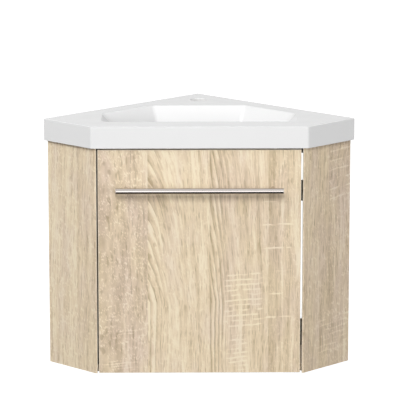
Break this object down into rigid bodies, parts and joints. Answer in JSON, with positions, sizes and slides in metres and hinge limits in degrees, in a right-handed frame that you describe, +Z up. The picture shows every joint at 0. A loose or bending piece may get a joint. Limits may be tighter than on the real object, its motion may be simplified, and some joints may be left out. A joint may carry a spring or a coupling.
{
  "type": "corner vanity unit",
  "caption": "Wall-hung corner cupboard with a cast pentagonal basin on top and one inset door on concealed hinges, opened by a round bar handle.",
  "frame": {"origin": "in the plane of the underside, below the middle of the whole unit's width and depth", "axes": "+X to the right of someone facing the door, +Y into the room's corner, +Z up"},
  "size_m": [0.6834, 0.4812, 0.552],
  "materials": {
    "cast_marble": "cast mineral marble with a glossy white gel coat",
    "oak_decor": "sonoma oak decor on particle board, matt",
    "raw_board": "brown decor on particle board, matt",
    "edge_band": "oak decor ABS edge band",
    "beech": "fluted beech, raw",
    "handle_steel": "brushed stainless steel",
    "bracket_steel": "zinc plated sheet steel",
    "hinge_nickel": "nickel plated pressed steel",
    "cam_zinc": "zinc die casting",
    "screws": "bright zinc plated steel",
    "bumper": "soft black bumper"
  },
  "bodies": {
    "carcass": {"basin": "cast_marble", "side_panel_left": "oak_decor", "side_panel_right": "oak_decor", "floor_panel": "oak_decor", "top_rail_left": "raw_board", "top_rail_right": "raw_board", "bottom_rail_left": "raw_board", "bottom_rail_right": "raw_board", "panel_edge_bands": "edge_band", "stop_strip": "raw_board", "stop_strip_screws": "screws", "door_bumpers": "bumper", "corner_brackets": "bracket_steel", "bracket_screws": "screws", "dowels": "beech", "cam_locks": "cam_zinc", "cam_bolts": "screws", "hinge_plate_upper": "hinge_nickel", "hinge_plate_lower": "hinge_nickel", "hinge_plate_screws": "screws", "hinge_arm_upper": "hinge_nickel", "hinge_arm_lower": "hinge_nickel", "hinge_arm_screws": "screws", "arm_pins": "screws"},
    "door": {"door_panel": "oak_decor", "door_edge_bands": "edge_band", "handle_bar": "handle_steel", "handle_posts": "handle_steel", "handle_screws": "screws", "hinge_cup_upper": "hinge_nickel", "hinge_cup_lower": "hinge_nickel", "hinge_cup_screws": "screws", "cup_pins": "screws"},
    "arm_links": {"arm_link_upper": "hinge_nickel", "arm_link_lower": "hinge_nickel", "link_pins": "screws"},
    "cup_links": {"cup_link_upper": "hinge_nickel", "cup_link_lower": "hinge_nickel"}
  },
  "joints": [
    {"name": "door_swing", "type": "hinge", "parent": "carcass", "child": "door", "pos_m": [0.22274, -0.20259, 0.25], "axis": [0, 0, 1], "range_deg": [0, 95], "stiffness_Nm_per_rad": 0.3, "springref_deg": -28.65},
    {"name": "arm_link_swing", "type": "hinge", "parent": "carcass", "child": "arm_links", "pos_m": [0.1962, -0.17827, 0.25], "axis": [0, 0, 1], "range_deg": [0, 95]},
    {"name": "cup_link_swing", "type": "hinge", "parent": "door", "child": "cup_links", "pos_m": [0.19874, -0.19109, 0.25], "axis": [0, 0, 1], "range_deg": [-95, 0]}
  ],
  "couplings": [
    {"joint": "arm_link_swing", "follows": "door_swing", "ratio": 1},
    {"joint": "cup_link_swing", "follows": "door_swing", "ratio": -1}
  ]
}
